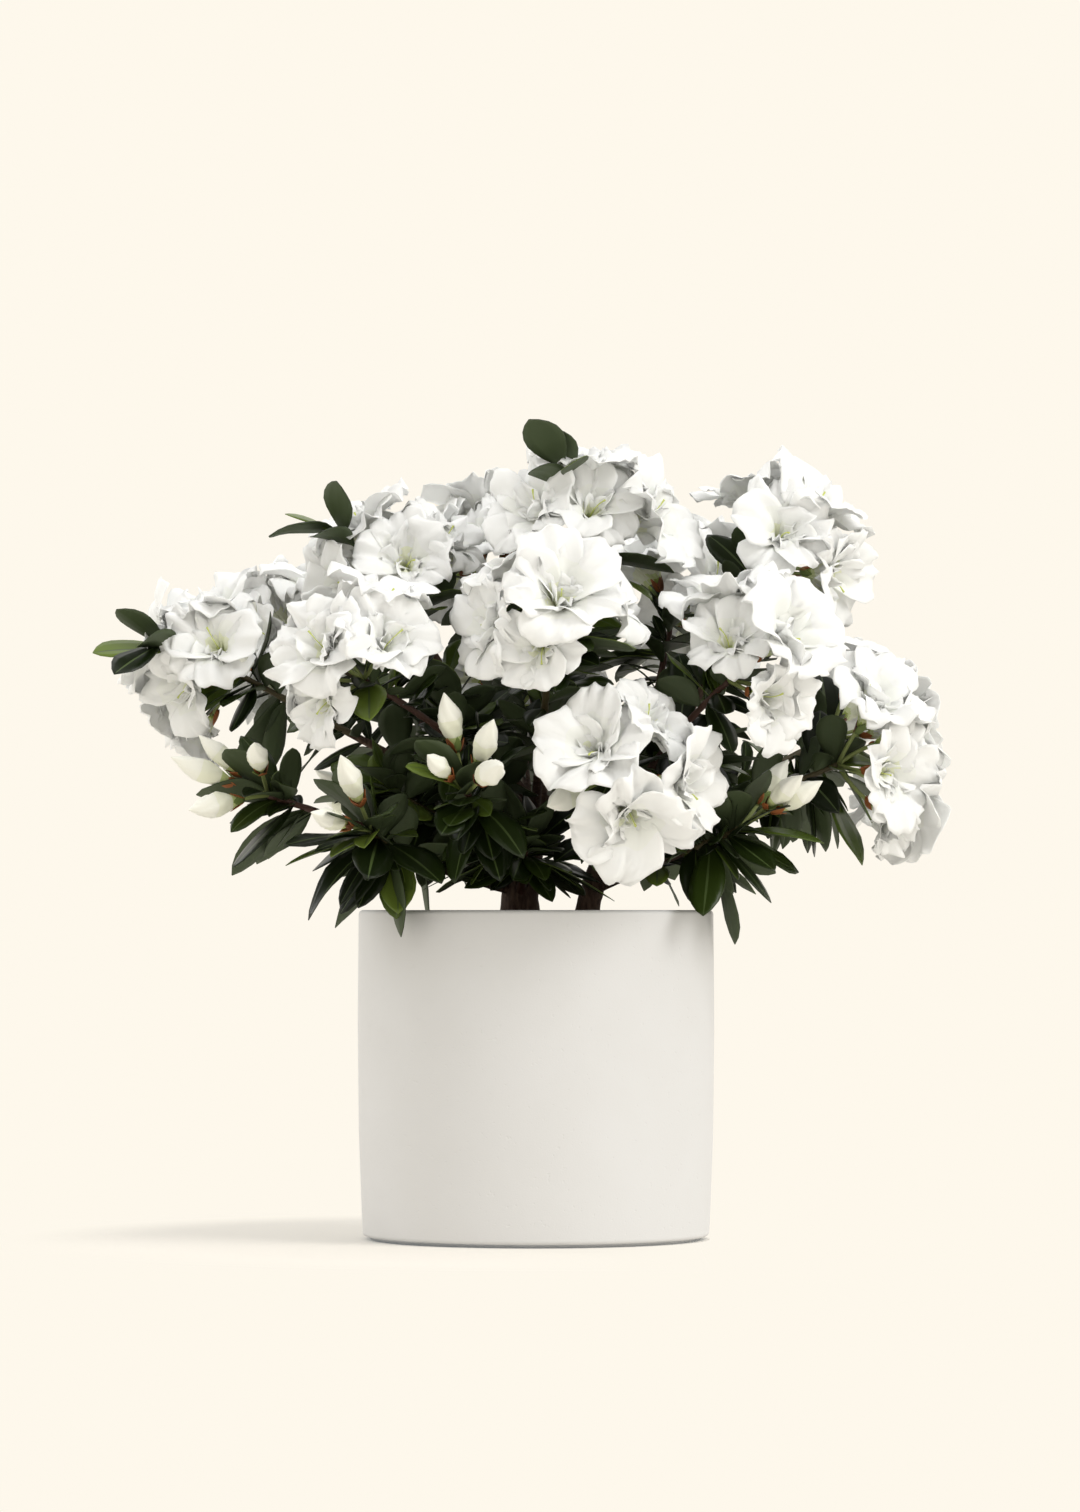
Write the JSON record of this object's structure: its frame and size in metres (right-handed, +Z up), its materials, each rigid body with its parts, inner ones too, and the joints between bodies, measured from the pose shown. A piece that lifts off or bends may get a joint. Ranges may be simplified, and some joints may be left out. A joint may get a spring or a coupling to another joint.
{
  "type": "potted azalea shrub",
  "caption": "Small white double-flowered azalea shrub with a wide rounded crown, growing in a plain round pot.",
  "frame": {"origin": "centre of the pot's flat underside", "axes": "+Z up along the pot's axis, +X along the crown's widest spread, to the right of the plant's fuller face, +Y away from that face"},
  "size_m": [0.4269, 0.3293, 0.4019],
  "materials": {
    "pot": "matte",
    "soil": "matte",
    "bark": "matte",
    "foliage": "satin"
  },
  "bodies": {
    "root": {"pot": "pot", "soil": "soil", "trunk": "bark", "side_stem": "bark", "crown_top_bough": "bark", "crown_top": "foliage", "upper_right_bough": "bark", "upper_right": "foliage", "left_upper_bough": "bark", "left_upper": "foliage", "far_left_bough": "bark", "far_left": "foliage", "front_left_bough": "bark", "front_left": "foliage", "front_middle_bough": "bark", "front_middle": "foliage", "front_right_bough": "bark", "front_right": "foliage", "far_right_bough": "bark", "far_right": "foliage", "low_front_right_bough": "bark", "low_front_right": "foliage", "top_back_bough": "bark", "top_back": "foliage", "back_middle_bough": "bark", "back_middle": "foliage", "back_left_bough": "bark", "back_left": "foliage", "back_right_bough": "bark", "back_right": "foliage", "right_back_bough": "bark", "right_back": "foliage", "low_left_bough": "bark", "low_left": "foliage", "low_right_bough": "bark", "low_right": "foliage", "low_front_bough": "bark", "low_front": "foliage", "low_back_left_bough": "bark", "low_back_left": "foliage", "low_back_right_bough": "bark", "low_back_right": "foliage", "inner_left_bough": "bark", "inner_left": "foliage", "inner_front": "foliage", "inner_middle_bough": "bark", "inner_middle": "foliage", "inner_right_bough": "bark", "inner_right": "foliage", "low_front_left_bough": "bark", "low_front_left": "foliage"}
  },
  "joints": []
}
